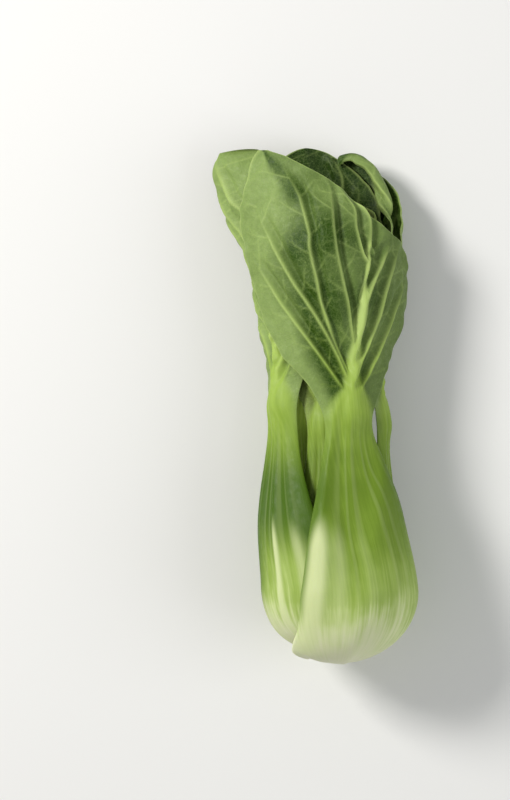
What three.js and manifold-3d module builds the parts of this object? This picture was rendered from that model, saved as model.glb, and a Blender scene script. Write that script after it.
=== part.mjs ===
// A head of bok choy lying on its side: a short stem with leaves in a spiral round it.
// Millimetres. +Z is up and +Y runs from the cut root end to the leaf tips.
//
// Every leaf is drawn in head coordinates (w, angle, level):
//   w      distance up the head in mm. Below 0 it runs round the rounded bottom of the bulb,
//          above 0 it runs straight up from the middle of the bulb.
//   angle  degrees round the head, 0 at +X and 90 at the top.
//   level  share of the head's own radius there, 0 on the axis and 1 on the outside.
// Leaves are laid from the heart outwards, each one draped over those that are already there.
import * as THREE from 'three';
import Module from 'manifold-3d';
import { mergeVertices } from 'three/addons/utils/BufferGeometryUtils.js';

const wasm = await Module();
wasm.setup();

// The bulb: where its middle is, how far it bulges down, and how many w its round bottom takes.
// Its bottom is squarer than an ellipse: 1 is an ellipse, and less is squarer.
const BULB_Y = -75;
const BULB_DEPTH = 24.5;
const BULB_ARC = 44;
const BULB_ROUNDNESS = 0.72;

// Half width and half height of the outside, and the axis, along Y
const HALF_WIDTH = curve([[-75, 30.4], [-46, 29.6], [-5, 25.5], [20, 26.6], [40, 29.8], [62, 32.8],
  [80, 32.5], [92, 29], [110, 20]]);
const HALF_HEIGHT = curve([[-75, 28], [-46, 25], [-5, 20], [30, 20], [62, 20], [85, 17], [110, 13]]);
const AXIS_X = curve([[-103, 2.4], [-75, 2.4], [-46, -0.8], [36, -2.8], [62, -3.2], [110, -3]]);
const AXIS_Z = curve([[-103, 29.3], [-75, 29.3], [-46, 28], [-5, 25], [30, 24], [62, 23.8],
  [85, 23], [110, 21]]);

// The stem is a cone inside the bulb: its radius as a share of the bulb's, and its slope downwards
const STEM_TOP_SHARE = 0.12;
const STEM_SLOPE = 0.26;
const STEM_CLEAR_SHARE = 0.012;
const STEM_TURNS = 24;

// Leaves: the clear space between two, the blade, and the space between a blade and its own rib
const LEAF_GAP = 0.65;
const BLADE_THICKNESS = 0.9;
const RIB_GAP = 0.3;
const SIDE_RIB_GAP = 0.5;
const SIDE_RIB_STEP = 3.4;
const RIB_EDGE = 0.4;
const FULL_THICKNESS = 6.6;

// The grid on which the leaves are draped
const ROW_STEP = 4;
const ROW_START = -BULB_ARC;
const ROWS = 57;
const COLUMN_STEP = 5;
const COLUMNS = 360 / COLUMN_STEP;
const RELAX_PASSES = 30;
const RELAX_PULL = 0.9;

// Moves the head so that its box stands centred over the origin
const CENTRE_X = 6.13;
const CENTRE_Y = 1.41;

// A smooth curve through points, as a function
function curve(points) {
  const last = points.length - 1;
  const slope = points.map((p, i) => {
    const before = points[Math.max(i - 1, 0)];
    const after = points[Math.min(i + 1, last)];
    return (after[1] - before[1]) / (after[0] - before[0]);
  });
  return (x) => {
    if (x <= points[0][0]) return points[0][1];
    if (x >= points[last][0]) return points[last][1];
    const i = points.findIndex((p) => p[0] > x) - 1;
    const span = points[i + 1][0] - points[i][0];
    const t = (x - points[i][0]) / span;
    const rise = t * t * (3 - 2 * t);
    return points[i][1] * (1 - rise) + points[i + 1][1] * rise
      + span * t * (1 - t) * ((1 - t) * slope[i] - t * slope[i + 1]);
  };
}

const clamp = (x, low, high) => Math.min(Math.max(x, low), high);
const smooth = (x, low, high) => {
  const t = clamp((x - low) / (high - low), 0, 1);
  return t * t * (3 - 2 * t);
};
const radians = (degrees) => degrees * Math.PI / 180;
const nearTurn = (degrees) => ((degrees % 360) + 540) % 360 - 180;

// How wide and how far down the outside is round the bottom, as shares of the bulb's
function bottomShape(w) {
  const polar = w < 0 ? Math.PI / 2 * (1 + w / BULB_ARC) : Math.PI / 2;
  return { wide: Math.sin(polar) ** BULB_ROUNDNESS, down: Math.cos(polar) };
}

// The point on the outside of the head (level 1), measured from the point that the head scales about
function reach(w, angle) {
  const { wide, down } = bottomShape(w);
  const y = BULB_Y + Math.max(w, 0);
  const a = radians(angle);
  return new THREE.Vector3(
    HALF_WIDTH(y) * wide * Math.cos(a),
    -BULB_DEPTH * down,
    HALF_HEIGHT(y) * wide * Math.sin(a));
}

// Head coordinates to a point in space
function place(w, angle, level) {
  const point = reach(w, angle).multiplyScalar(level);
  const y = BULB_Y + Math.max(w, 0) + point.y;
  return new THREE.Vector3(AXIS_X(y) + point.x, y, AXIS_Z(y) + point.z);
}

// Millimetres of thickness as a share of the radius at a place
const asLevel = (mm, w, angle) => mm / reach(w, angle).length();

// Where a shell at a level meets the stem cone, as w, by halving the bottom until it is found
function stemMeets(level, gap) {
  let [inCone, outside] = [-BULB_ARC, 0];
  for (let i = 0; i < 30; i++) {
    const w = (inCone + outside) / 2;
    const { wide, down } = bottomShape(w);
    const cone = STEM_TOP_SHARE + gap / BULB_DEPTH + STEM_SLOPE * level * down;
    if (level * wide < cone) inCone = w;
    else outside = w;
  }
  return outside;
}

// A leaf's outline by rule: its half widths in degrees on each side of the midrib, at w.
// A tip of squareness 2 closes as a circle does, and more is squarer.
function leafByRule({ angle, lean = 0, neck, plus, minus, tip, squareness = 2, ...rest }) {
  const bulbHalf = 58;
  const neckHalf = 23;
  const half = (w, most) => {
    if (w <= neck) return bulbHalf + (neckHalf - bulbHalf) * smooth(w, -6, neck);
    const t = (w - neck) / (tip - neck);
    const body = neckHalf + (most - neckHalf) * smooth(t, 0, 0.5);
    const closing = clamp(2 * t - 1, 0, 1);
    return body * (1 - closing ** squareness) ** (1 / squareness);
  };
  const middle = (w) => angle + lean * smooth(w, neck, tip);
  return {
    wave: 1, flare: 0, topFlare: 0, groove: 0.4, rib: middle, ribEnd: tip - 12, neck, tip, middle,
    high: (w) => middle(w) + half(w, plus),
    low: (w) => middle(w) - half(w, minus),
    ...rest,
  };
}

// The front leaf: its middle, midrib and both edges in degrees, at w
const frontLeaf = {
  name: 'outer_1', neck: 66, tip: 175, level: [1, 0.98, 1], thick: FULL_THICKNESS,
  wave: 0.4, flare: 0, topFlare: 0, groove: 1.1, ribEnd: 146,
  middle: curve([[-44, 58], [0, 60], [29, 65], [66, 66], [111, 64], [128, 67], [140, 78], [152, 98],
    [164, 122], [171, 139], [175, 150]]),
  rib: curve([[66, 66], [111, 62], [130, 60], [141, 57], [150, 58]]),
  high: curve([[-44, 178], [-34, 172], [-28, 148], [-21, 130], [-13, 122], [0, 117], [29, 103],
    [50, 95], [66, 91], [80, 104], [95, 131], [111, 147], [132, 158], [143, 163], [155, 161],
    [165, 156], [171, 155], [175, 153]]),
  low: curve([[-44, -2], [0, -3], [29, 9], [50, 32], [66, 42], [80, 28], [95, 6], [111, -14],
    [121, -10], [131, 1], [137, 14], [141, 31], [146, 46], [156, 69], [163, 86], [168, 103],
    [171, 117], [173, 129], [175, 147]]),
  // Side ribs as [w, degrees]
  sideRibs: [
    [[100, 66], [112, 73], [127, 80], [143, 86], [159, 91]],
    [[98, 66], [112, 92], [122, 100], [139, 102], [157, 112], [168, 127]],
    [[94, 66], [104, 94], [119, 111], [132, 124], [150, 143]],
    [[90, 66], [100, 92], [114, 124], [123, 139], [131, 150]],
    [[131, 63], [139, 69], [153, 71]],
    [[117, 64], [121, 56], [127, 50], [133, 41]],
    [[103, 66], [112, 48], [122, 41], [131, 33]],
    [[92, 66], [103, 46], [111, 34], [120, 24]],
  ],
};

// The spiral of leaves, outermost first. plus and minus are the blade's half widths in degrees,
// level is the outside at the bulb, the neck and the blade, and thick is the stalk's thickness.
const LEAVES = [
  frontLeaf,
  leafByRule({
    name: 'outer_2', angle: 281, lean: 8, neck: 61, tip: 170, plus: 74, minus: 62,
    level: [1, 0.98, 0.94], thick: 6.4, wave: 0.3,
  }),
  leafByRule({
    name: 'outer_3', angle: 143, lean: 25, neck: 69, tip: 176, plus: 50, minus: 72, squareness: 3,
    level: [0.96, 0.92, 0.8], thick: 6, flare: 8, topFlare: 12,
  }),
  leafByRule({
    name: 'outer_4', angle: 5, lean: -66, neck: 64, tip: 174, plus: 56, minus: 66,
    level: [0.93, 0.92, 0.84], thick: 6, wave: 0.4,
  }),
  leafByRule({
    name: 'outer_5', angle: 236, lean: 16, neck: 67, tip: 177, plus: 92, minus: 66,
    level: [0.82, 0.82, 0.8], thick: 5.6,
  }),
  leafByRule({
    name: 'middle_1', angle: 91, neck: 62, tip: 146, plus: 62, minus: 62,
    level: [0.68, 0.7, 0.74], thick: 4.6,
  }),
  leafByRule({
    name: 'middle_2', angle: 313, neck: 66, tip: 153, plus: 58, minus: 58,
    level: [0.62, 0.64, 0.68], thick: 4.2,
  }),
  leafByRule({
    name: 'middle_3', angle: 176, neck: 60, tip: 155, plus: 58, minus: 58,
    level: [0.55, 0.58, 0.62], thick: 3.8,
  }),
  leafByRule({
    name: 'middle_4', angle: 38, neck: 58, tip: 144, plus: 56, minus: 56,
    level: [0.46, 0.5, 0.54], thick: 3.4,
  }),
  leafByRule({
    name: 'heart_1', angle: 261, neck: 60, tip: 136, plus: 60, minus: 60,
    level: [0.38, 0.4, 0.44], thick: 3,
  }),
  leafByRule({
    name: 'heart_2', angle: 123, neck: 54, tip: 122, plus: 62, minus: 62,
    level: [0.3, 0.32, 0.34], thick: 2.6,
  }),
  leafByRule({
    name: 'heart_3', angle: 345, neck: 48, tip: 106, plus: 66, minus: 66,
    level: [0.22, 0.23, 0.24], thick: 2.2,
  }),
];

// How finely each kind of leaf is cut: rows and columns of the blade and of the stalk
const CUTS = {
  front: { bladeRows: 18, bladeColumns: 19, stalkRows: 10, stalkColumns: 13 },
  outer: { bladeRows: 13, bladeColumns: 15, stalkRows: 10, stalkColumns: 9 },
  middle: { bladeRows: 9, bladeColumns: 9, stalkRows: 7, stalkColumns: 7 },
  heart: { bladeRows: 7, bladeColumns: 7, stalkRows: 7, stalkColumns: 5 },
};

const rowW = (row) => ROW_START + row * ROW_STEP;
const newGrid = () => Array.from({ length: ROWS }, () => new Float64Array(COLUMNS));

// A grid's value between its nodes
function sample(grid, w, angle) {
  const r = clamp((w - ROW_START) / ROW_STEP, 0, ROWS - 1.001);
  const c = (((angle % 360) + 360) % 360) / COLUMN_STEP;
  const r0 = Math.floor(r);
  const c0 = Math.floor(c) % COLUMNS;
  const c1 = (c0 + 1) % COLUMNS;
  const fr = r - r0;
  const fc = c - Math.floor(c);
  return (grid[r0][c0] * (1 - fc) + grid[r0][c1] * fc) * (1 - fr)
    + (grid[r0 + 1][c0] * (1 - fc) + grid[r0 + 1][c1] * fc) * fr;
}

// How far a place is across a leaf: -1 and 1 on its edges, 0 on the midrib
function across(leaf, w, angle) {
  const off = nearTurn(angle - leaf.middle(w));
  const half = off >= 0 ? leaf.high(w) - leaf.middle(w) : leaf.middle(w) - leaf.low(w);
  return off / Math.max(half, 1);
}

// The angle at a share of the way across a leaf
function angleAt(leaf, w, v) {
  const middle = leaf.middle(w);
  return middle + v * (v >= 0 ? leaf.high(w) - middle : middle - leaf.low(w));
}

// Level of the leaf's outside that it would take with nothing under it
function wantedLevel(leaf, w) {
  const [bulb, neck, blade] = leaf.level;
  return w < leaf.neck
    ? bulb + (neck - bulb) * smooth(w, 0, leaf.neck)
    : neck + (blade - neck) * smooth(w, leaf.neck, leaf.neck + 50);
}

// Thickness of the stalk in mm: a thick middle and thin edges, slimmer towards the neck
function stalkThickness(leaf, w, v) {
  const middle = leaf.thick * (1 - 0.3 * smooth(w, 0, leaf.neck));
  const edge = 0.3 * middle;
  const groove = leaf.groove * smooth(w, -25, 5) * Math.exp(-(((v - 0.45) / 0.17) ** 2));
  return edge + (middle - edge) * (1 - clamp(v * v, 0, 1)) ** 0.8 - groove;
}

// The blade's wave along its edge, always outwards, and its outward flare beyond the midrib, in mm
function bladeWave(leaf, w, angle) {
  const v = across(leaf, w, angle);
  const toTip = smooth(w, leaf.neck + 30, leaf.tip);
  const toSide = clamp(Math.abs(v), 0, 1) * smooth(w, leaf.neck + 6, leaf.neck + 40);
  const edge = smooth(Math.max(toSide, toTip), 0.55, 1);
  const wave = 0.9 + 0.9 * Math.sin(w * 0.21 + angle * 0.17 + leaf.tip);
  const flare = leaf.flare * smooth(w, leaf.tip - 55, leaf.tip - 25)
    + leaf.topFlare * smooth(w, leaf.tip - 40, leaf.tip);
  return leaf.wave * edge * wave + flare * smooth(v, 0.1, 0.85);
}

// Half width and height in mm of the midrib on the back of a blade, slimmer towards its tip
const towardsTip = (leaf, w, from) => 1 - smooth(w, leaf.neck - from, leaf.tip - 18);
const ribHalf = (leaf, w) => 0.7 + 5.2 * leaf.thick / FULL_THICKNESS * towardsTip(leaf, w, 20) ** 1.5;
const ribHeight = (leaf, w) => leaf.thick / FULL_THICKNESS * (0.3 + 2.4 * towardsTip(leaf, w, 0));

// The grid with every value raised to the highest of its neighbours
const widened = (grid) => grid.map((row, r) => row.map((_, c) => Math.max(...[-1, 0, 1].flatMap((dr) => {
  const near = grid[clamp(r + dr, 0, ROWS - 1)];
  return [near[(c + COLUMNS - 1) % COLUMNS], near[c], near[(c + 1) % COLUMNS]];
}))));

// Lays one leaf over what is there: its inside level on the grid, at least a gap above the stack
function drape(leaf, stack) {
  const floor = newGrid();
  const wide = widened(stack);
  for (let r = 0; r < ROWS; r++) {
    const w = rowW(r);
    for (let c = 0; c < COLUMNS; c++) {
      const angle = c * COLUMN_STEP;
      const thick = w < leaf.neck ? stalkThickness(leaf, w, across(leaf, w, angle)) : BLADE_THICKNESS;
      const wanted = wantedLevel(leaf, w) - asLevel(thick, w, angle);
      floor[r][c] = Math.max(wide[r][c] + asLevel(LEAF_GAP, w, angle), wanted);
    }
  }
  let level = floor.map((row) => row.slice());
  for (let pass = 0; pass < RELAX_PASSES; pass++) {
    level = level.map((row, r) => row.map((_, c) => {
      const up = level[Math.min(r + 1, ROWS - 1)][c];
      const down = level[Math.max(r - 1, 0)][c];
      const left = row[(c + COLUMNS - 1) % COLUMNS];
      const right = row[(c + 1) % COLUMNS];
      const even = (up + down + left + right) / 4;
      return Math.max(floor[r][c], RELAX_PULL * even + (1 - RELAX_PULL) * floor[r][c]);
    }));
  }
  return level;
}

// Level of the leaf's inside
const insideLevel = (leaf, w, angle) => sample(leaf.drape, w, angle)
  + (w > leaf.neck ? asLevel(bladeWave(leaf, w, angle), w, angle) : 0);

// Thickness in mm that a leaf takes up at a place, with the ribs on its back
function fullThickness(leaf, w, angle) {
  if (w < leaf.neck) return stalkThickness(leaf, w, across(leaf, w, angle));
  const off = Math.abs(radians(nearTurn(angle - leaf.middle(w)))) * reach(w, angle).length();
  const onRib = 1 - smooth(off, ribHalf(leaf, w) - 1, ribHalf(leaf, w) + 5);
  return BLADE_THICKNESS + RIB_GAP + RIB_EDGE + ribHeight(leaf, w) * onRib;
}

// Adds a laid leaf to the stack, with a margin of one grid step round its edge
function addToStack(leaf, stack) {
  for (let r = 0; r < ROWS; r++) {
    const w = rowW(r);
    if (w < leaf.start - ROW_STEP || w > leaf.tip + ROW_STEP) continue;
    const near = clamp(w, leaf.start, leaf.tip - 0.5);
    for (let c = 0; c < COLUMNS; c++) {
      const angle = c * COLUMN_STEP;
      const off = nearTurn(angle - leaf.middle(near));
      if (off > leaf.high(near) - leaf.middle(near) + COLUMN_STEP) continue;
      if (off < leaf.low(near) - leaf.middle(near) - COLUMN_STEP) continue;
      const outside = insideLevel(leaf, w, angle) + asLevel(fullThickness(leaf, w, angle), w, angle);
      stack[r][c] = Math.max(stack[r][c], outside);
    }
  }
}

// A closed shell from two grids of points, outer and inner, each [row][column]
function shellGeometry(outer, inner) {
  const rows = outer.length;
  const columns = outer[0].length;
  const positions = [...outer.flat(), ...inner.flat()].flatMap((p) => p.toArray());
  const at = (side, r, c) => side * rows * columns + r * columns + c;
  const faces = [];
  const quad = (a, b, c, d) => faces.push(a, b, c, a, c, d);
  for (let r = 0; r + 1 < rows; r++) {
    for (let c = 0; c + 1 < columns; c++) {
      quad(at(0, r, c), at(0, r, c + 1), at(0, r + 1, c + 1), at(0, r + 1, c));
      quad(at(1, r, c), at(1, r + 1, c), at(1, r + 1, c + 1), at(1, r, c + 1));
    }
    quad(at(0, r, 0), at(0, r + 1, 0), at(1, r + 1, 0), at(1, r, 0));
    quad(at(0, r, columns - 1), at(1, r, columns - 1), at(1, r + 1, columns - 1), at(0, r + 1, columns - 1));
  }
  for (let c = 0; c + 1 < columns; c++) {
    quad(at(0, 0, c), at(1, 0, c), at(1, 0, c + 1), at(0, 0, c + 1));
    quad(at(0, rows - 1, c), at(0, rows - 1, c + 1), at(1, rows - 1, c + 1), at(1, rows - 1, c));
  }
  const geometry = new THREE.BufferGeometry();
  geometry.setAttribute('position', new THREE.Float32BufferAttribute(positions, 3));
  geometry.setIndex(faces);
  return faceOutwards(geometry);
}

// Turns a closed geometry's faces outwards, by the sign of its volume
function faceOutwards(geometry) {
  const p = geometry.attributes.position;
  const index = geometry.index.array;
  const [a, b, c] = [new THREE.Vector3(), new THREE.Vector3(), new THREE.Vector3()];
  let volume = 0;
  for (let i = 0; i < index.length; i += 3) {
    a.fromBufferAttribute(p, index[i]);
    b.fromBufferAttribute(p, index[i + 1]);
    c.fromBufferAttribute(p, index[i + 2]);
    volume += a.dot(b.cross(c));
  }
  if (volume > 0) return geometry;
  for (let i = 0; i < index.length; i += 3) {
    [index[i + 1], index[i + 2]] = [index[i + 2], index[i + 1]];
  }
  return geometry;
}

function solidOf(geometry) {
  const merged = mergeVertices(geometry, 1e-4);
  return new wasm.Manifold(new wasm.Mesh({
    numProp: 3,
    vertProperties: merged.attributes.position.array,
    triVerts: new Uint32Array(merged.index.array),
  }));
}

function geometryOf(solid) {
  const mesh = solid.getMesh();
  const geometry = new THREE.BufferGeometry();
  geometry.setAttribute('position', new THREE.BufferAttribute(mesh.vertProperties, 3));
  geometry.setIndex(new THREE.BufferAttribute(mesh.triVerts, 1));
  return geometry;
}

// Values of f at evenly spaced places from 0 to 1
const range = (count, f) => Array.from({ length: count }, (_, i) => f(i / (count - 1)));

// The blade's grid of points at a height above its inside
const bladePoints = (leaf, lift) => leaf.bladeWs.map((w) => range(leaf.cuts.bladeColumns, (s) => {
  const angle = angleAt(leaf, w, 2 * s - 1);
  return place(w, angle, insideLevel(leaf, w, angle) + asLevel(lift, w, angle));
}));

// A point on the flat triangles of a blade's back, lifted off it by so many mm
function onBlade(leaf, w, v, lift) {
  const ws = leaf.bladeWs;
  const r = clamp(ws.findIndex((x) => x > w) - 1, 0, ws.length - 2);
  const fr = (w - ws[r]) / (ws[r + 1] - ws[r]);
  const k = clamp((v + 1) / 2, 0, 0.9999) * (leaf.cuts.bladeColumns - 1);
  const c = Math.floor(k);
  const fc = k - c;
  const [p00, p01] = [leaf.bladeBack[r][c], leaf.bladeBack[r][c + 1]];
  const [p10, p11] = [leaf.bladeBack[r + 1][c], leaf.bladeBack[r + 1][c + 1]];
  const corner = fc >= fr ? p01 : p10;
  const point = p00.clone()
    .addScaledVector(corner.clone().sub(p00), Math.max(fc, fr))
    .addScaledVector(p11.clone().sub(corner), Math.min(fc, fr));
  return point.addScaledVector(reach(w, angleAt(leaf, w, v)).normalize(), lift);
}

// A point of the stalk below the neck. Its inside steps up over the foot of the blade.
function stalkPoint(leaf, w, x, isOuter) {
  const angle = angleAt(leaf, w, x);
  const step = w > leaf.neck - 0.5 ? BLADE_THICKNESS + RIB_GAP : 0;
  const lift = isOuter ? stalkThickness(leaf, w, x) : step;
  return place(w, angle, insideLevel(leaf, w, angle) + asLevel(lift, w, angle));
}

// A point of the midrib above the neck, which starts as wide as the stalk and narrows
function ribPoint(leaf, w, x, isOuter) {
  const open = 1 - smooth(w, leaf.neck - 0.7, leaf.neck + 16);
  const ribAngle = ribHalf(leaf, w) / reach(w, leaf.rib(w)).length() * 180 / Math.PI;
  const v = x * open + (1 - open) * across(leaf, w, leaf.rib(w) + x * ribAngle);
  const stalkTop = Math.max(stalkThickness(leaf, leaf.neck, x) - BLADE_THICKNESS - RIB_GAP, RIB_EDGE);
  const ribTop = RIB_EDGE + ribHeight(leaf, w) * (1 - x * x) ** 0.8;
  const raise = ribTop + (stalkTop - ribTop) * open;
  return onBlade(leaf, w, v, RIB_GAP + (isOuter ? raise : 0));
}

// The pale stalk, which runs on above the neck as the midrib on the blade's back
function stalkGeometry(leaf) {
  const { stalkRows, stalkColumns } = leaf.cuts;
  const stepFoot = leaf.neck - 0.6;
  const stepHead = leaf.neck - 0.3;
  const ribWs = leaf.bladeWs.filter((w) => w < leaf.ribEnd);
  const baseLevel = insideLevel(leaf, leaf.start + 2, leaf.middle(leaf.start));
  const innerStart = Math.max(stemMeets(Math.max(baseLevel, 0.16), RIB_GAP), leaf.start);
  const side = (from, isOuter) => {
    const stalkWs = [...range(stalkRows, (t) => from + (stepFoot - from) * t ** 1.35), stepHead];
    return [
      ...stalkWs.map((w) => range(stalkColumns, (s) => stalkPoint(leaf, w, 2 * s - 1, isOuter))),
      ...ribWs.map((w) => range(stalkColumns, (s) => ribPoint(leaf, w, 2 * s - 1, isOuter))),
    ];
  };
  return shellGeometry(side(leaf.start, true), side(innerStart, false));
}

// The stalk and its side ribs in one body, cut flat where it would dip under the surface it lies on
function stalkWithSideRibs(leaf) {
  const ribs = sideRibPaths(leaf).map((path) => solidOf(sideRibGeometry(leaf, path)));
  const geometry = geometryOf(wasm.Manifold.union([solidOf(stalkGeometry(leaf)), ...ribs]));
  const p = geometry.attributes.position;
  for (let i = 0; i < p.count; i++) p.setZ(i, Math.max(p.getZ(i), 0));
  return geometry;
}

// Side ribs of a blade as paths [w, share across], from the midrib outwards
function sideRibPaths(leaf) {
  const evenly = (length, f) => range(Math.ceil(length / SIDE_RIB_STEP) + 1, f);
  if (leaf.sideRibs) {
    return leaf.sideRibs.map((points) => {
      const angleOf = curve(points);
      const [first, last] = [points[0], points[points.length - 1]];
      const length = Math.hypot(last[0] - first[0], (last[1] - first[1]) / 2);
      return evenly(length, (t) => {
        const w = first[0] + (last[0] - first[0]) * t;
        return [w, across(leaf, w, angleOf(w))];
      });
    });
  }
  const length = leaf.tip - leaf.neck;
  const reachAcross = leaf.flare > 0 ? 0.5 : 0.84;
  const starts = [0.16, 0.34, 0.54];
  return starts.flatMap((at) => [-1, 1].map((side) => evenly(0.4 * length, (t) => {
    const w = leaf.neck + length * (at + 0.02 * side + t * (0.2 + 0.12 * t));
    return [w, side * reachAcross * t];
  })));
}

// One side rib: a low ridge that tapers along its path over the back of the blade
function sideRibGeometry(leaf, path) {
  const sections = path.map(([w, v], i) => {
    const fade = 1 - i / (path.length - 1);
    const bladeHalf = radians(leaf.high(w) - leaf.low(w)) / 2 * reach(w, leaf.middle(w)).length();
    const half = (0.5 + 0.7 * fade) / bladeHalf;
    const pair = (share, lift) => [-1, 1].map((side) => onBlade(leaf, w, v + side * share * half, lift));
    return { crest: pair(0.55, SIDE_RIB_GAP + 0.45 + 0.5 * fade), foot: pair(1, SIDE_RIB_GAP) };
  });
  return shellGeometry(sections.map((x) => x.crest), sections.map((x) => x.foot));
}

// The stem: a cone that the stalks stand on, cut flat at the root end
function stemGeometry() {
  const share = (down) => STEM_TOP_SHARE + STEM_SLOPE * down - STEM_CLEAR_SHARE;
  const profile = [
    [share(1) - 0.02, 1.04],
    [share(1), 1],
    [share(0.5), 0.5],
    [share(0.1), 0.1],
    [0.06, -0.04],
  ];
  const point = (wide, down, turn) => new THREE.Vector3(
    AXIS_X(BULB_Y) + HALF_WIDTH(BULB_Y) * wide * Math.cos(2 * Math.PI * turn),
    BULB_Y - BULB_DEPTH * down,
    AXIS_Z(BULB_Y) + HALF_HEIGHT(BULB_Y) * wide * Math.sin(2 * Math.PI * turn));
  const rings = profile.length;
  const points = [];
  const faces = [];
  for (let i = 0; i < STEM_TURNS; i++) {
    for (const [wide, down] of profile) points.push(point(wide, down, i / STEM_TURNS));
  }
  points.push(point(0, profile[0][1], 0), point(0, -0.08, 0));
  const [bottom, top] = [STEM_TURNS * rings, STEM_TURNS * rings + 1];
  for (let i = 0; i < STEM_TURNS; i++) {
    const a = i * rings;
    const b = ((i + 1) % STEM_TURNS) * rings;
    faces.push(bottom, a, b, top, b + rings - 1, a + rings - 1);
    for (let k = 0; k + 1 < rings; k++) {
      faces.push(a + k, a + k + 1, b + k + 1, a + k, b + k + 1, b + k);
    }
  }
  const geometry = new THREE.BufferGeometry();
  geometry.setAttribute('position', new THREE.Float32BufferAttribute(points.flatMap((p) => p.toArray()), 3));
  geometry.setIndex(faces);
  return faceOutwards(geometry);
}

const STALK = new THREE.MeshStandardMaterial({ name: 'stalk', color: 0xbfcf86, roughness: 0.42 });
const BLADE = new THREE.MeshStandardMaterial({ name: 'blade', color: 0x5f8a2e, roughness: 0.5 });
const STEM = new THREE.MeshStandardMaterial({ name: 'stem', color: 0xd9d6b4, roughness: 0.7 });

const head = new THREE.Group();
head.position.set(CENTRE_X, CENTRE_Y, 0);

function addNode(name, geometry, material) {
  const mesh = new THREE.Mesh(geometry, material);
  mesh.name = name;
  head.add(mesh);
}

// Lays the leaves from the heart outwards
const stack = newGrid();
for (const row of stack) row.fill(0.05);
for (const leaf of [...LEAVES].reverse()) {
  leaf.start = stemMeets(leaf.level[0], RIB_GAP);
  leaf.drape = drape(leaf, stack);
  addToStack(leaf, stack);
}

addNode('stem_core', stemGeometry(), STEM);
for (const leaf of LEAVES) {
  const [kind, number] = leaf.name.split('_');
  leaf.cuts = leaf === frontLeaf ? CUTS.front : CUTS[kind];
  leaf.bladeWs = range(leaf.cuts.bladeRows, (t) => {
    return leaf.neck + (leaf.tip - 0.3 - leaf.neck) * (1 - (1 - t) ** 1.5);
  });
  leaf.bladeBack = bladePoints(leaf, BLADE_THICKNESS);
  const stalk = kind === 'outer' ? stalkWithSideRibs(leaf) : stalkGeometry(leaf);
  addNode(`${kind}_stalk_${number}`, stalk, STALK);
  addNode(`${kind}_blade_${number}`, shellGeometry(leaf.bladeBack, bladePoints(leaf, 0)), BLADE);
}

export default head;
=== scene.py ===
"""A head of bok choy lying on its side: its leaves, its stem, and a plain stage.

Shapes are worked out in millimetres in head coordinates, as in the part's source:
  w      distance up the head. Below 0 it runs round the rounded bottom of the bulb.
  angle  degrees round the head, 0 at +X and 90 at the top.
  level  share of the head's own radius there, 0 on the axis and 1 on the outside.
  v      how far across a leaf, -1 and 1 on its edges and 0 on its midrib.
"""
import dataclasses
import functools
import math

import bpy
import numpy as np
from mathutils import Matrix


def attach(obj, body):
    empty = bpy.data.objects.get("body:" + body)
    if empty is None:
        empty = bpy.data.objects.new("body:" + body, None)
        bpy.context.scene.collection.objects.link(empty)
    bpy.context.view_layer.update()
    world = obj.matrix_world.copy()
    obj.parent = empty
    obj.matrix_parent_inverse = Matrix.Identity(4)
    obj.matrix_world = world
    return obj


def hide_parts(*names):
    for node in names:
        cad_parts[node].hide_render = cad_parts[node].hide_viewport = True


bl_info = {
    "name": "Bok choy",
    "version": (1, 0, 0),
    "blender": (4, 5, 0),
    "location": "3D View > Sidebar > Bok choy",
    "description": "Builds a head of bok choy round its packed solids",
    "category": "Add Mesh",
}

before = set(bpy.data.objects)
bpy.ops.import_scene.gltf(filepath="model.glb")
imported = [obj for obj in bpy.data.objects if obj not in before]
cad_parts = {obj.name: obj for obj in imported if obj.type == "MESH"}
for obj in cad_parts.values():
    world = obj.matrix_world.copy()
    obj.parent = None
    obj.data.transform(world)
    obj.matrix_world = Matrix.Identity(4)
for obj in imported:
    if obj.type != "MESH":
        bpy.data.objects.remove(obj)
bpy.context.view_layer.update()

MM = 0.001

# The bulb: where its middle is, how far it bulges down, and how many w its round bottom takes.
# Its bottom is squarer than an ellipse: 1 is an ellipse, and less is squarer.
BULB_Y = -75.0
BULB_DEPTH = 24.5
BULB_ARC = 44.0
BULB_ROUNDNESS = 0.72

# The stem cone inside the bulb: its radius as a share of the bulb's, and its slope downwards
STEM_TOP_SHARE = 0.12
STEM_SLOPE = 0.26
STEM_CLEAR_SHARE = 0.012

# How leaves lie over each other, and how thick they are, in mm
LEAF_GAP = 0.65
BLADE_THICKNESS = 0.9
RIB_GAP = 0.3
RIB_EDGE = 0.4
FULL_THICKNESS = 6.6

# The level that the innermost leaf is laid on
CORE_LEVEL = 0.05

# The grid on which the leaves are draped
ROW_STEP = 4.0
ROW_START = -BULB_ARC
ROWS = 57
COLUMN_STEP = 5.0
COLUMNS = 72
RELAX_PASSES = 30
RELAX_PULL = 0.9

# The head's place over the origin
CENTRE_X = 6.13
CENTRE_Y = 1.41

# A leaf outline made by rule: half widths in degrees at the bulb and at the neck
BULB_HALF = 58.0
NECK_HALF = 23.0

# Rows on the stalk, rows on the blade and columns of a leaf's grid
LEAF_GRIDS = {
    "outer_1": (75, 200, 175),
    "outer": (70, 150, 110),
    "middle": (50, 90, 70),
    "heart": (40, 60, 40),
}

# Veins: points along a main one, and for branches and twigs off them the mm between two, their
# length in mm and the seed of their small differences
VEIN_POINTS = 24
BRANCHES = (6.5, 13, 3)
TWIGS = (4.2, 6, 5)
VEIN_REACH = 7.0
LUMP_SEED = 11

# How far in mm a leaf's base runs on into the stem's gap
INTO_STEM = 1.6

# The part of a blade, in mm from its tip, whose edge can be rolled in
ROLL_SPAN = 60

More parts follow.
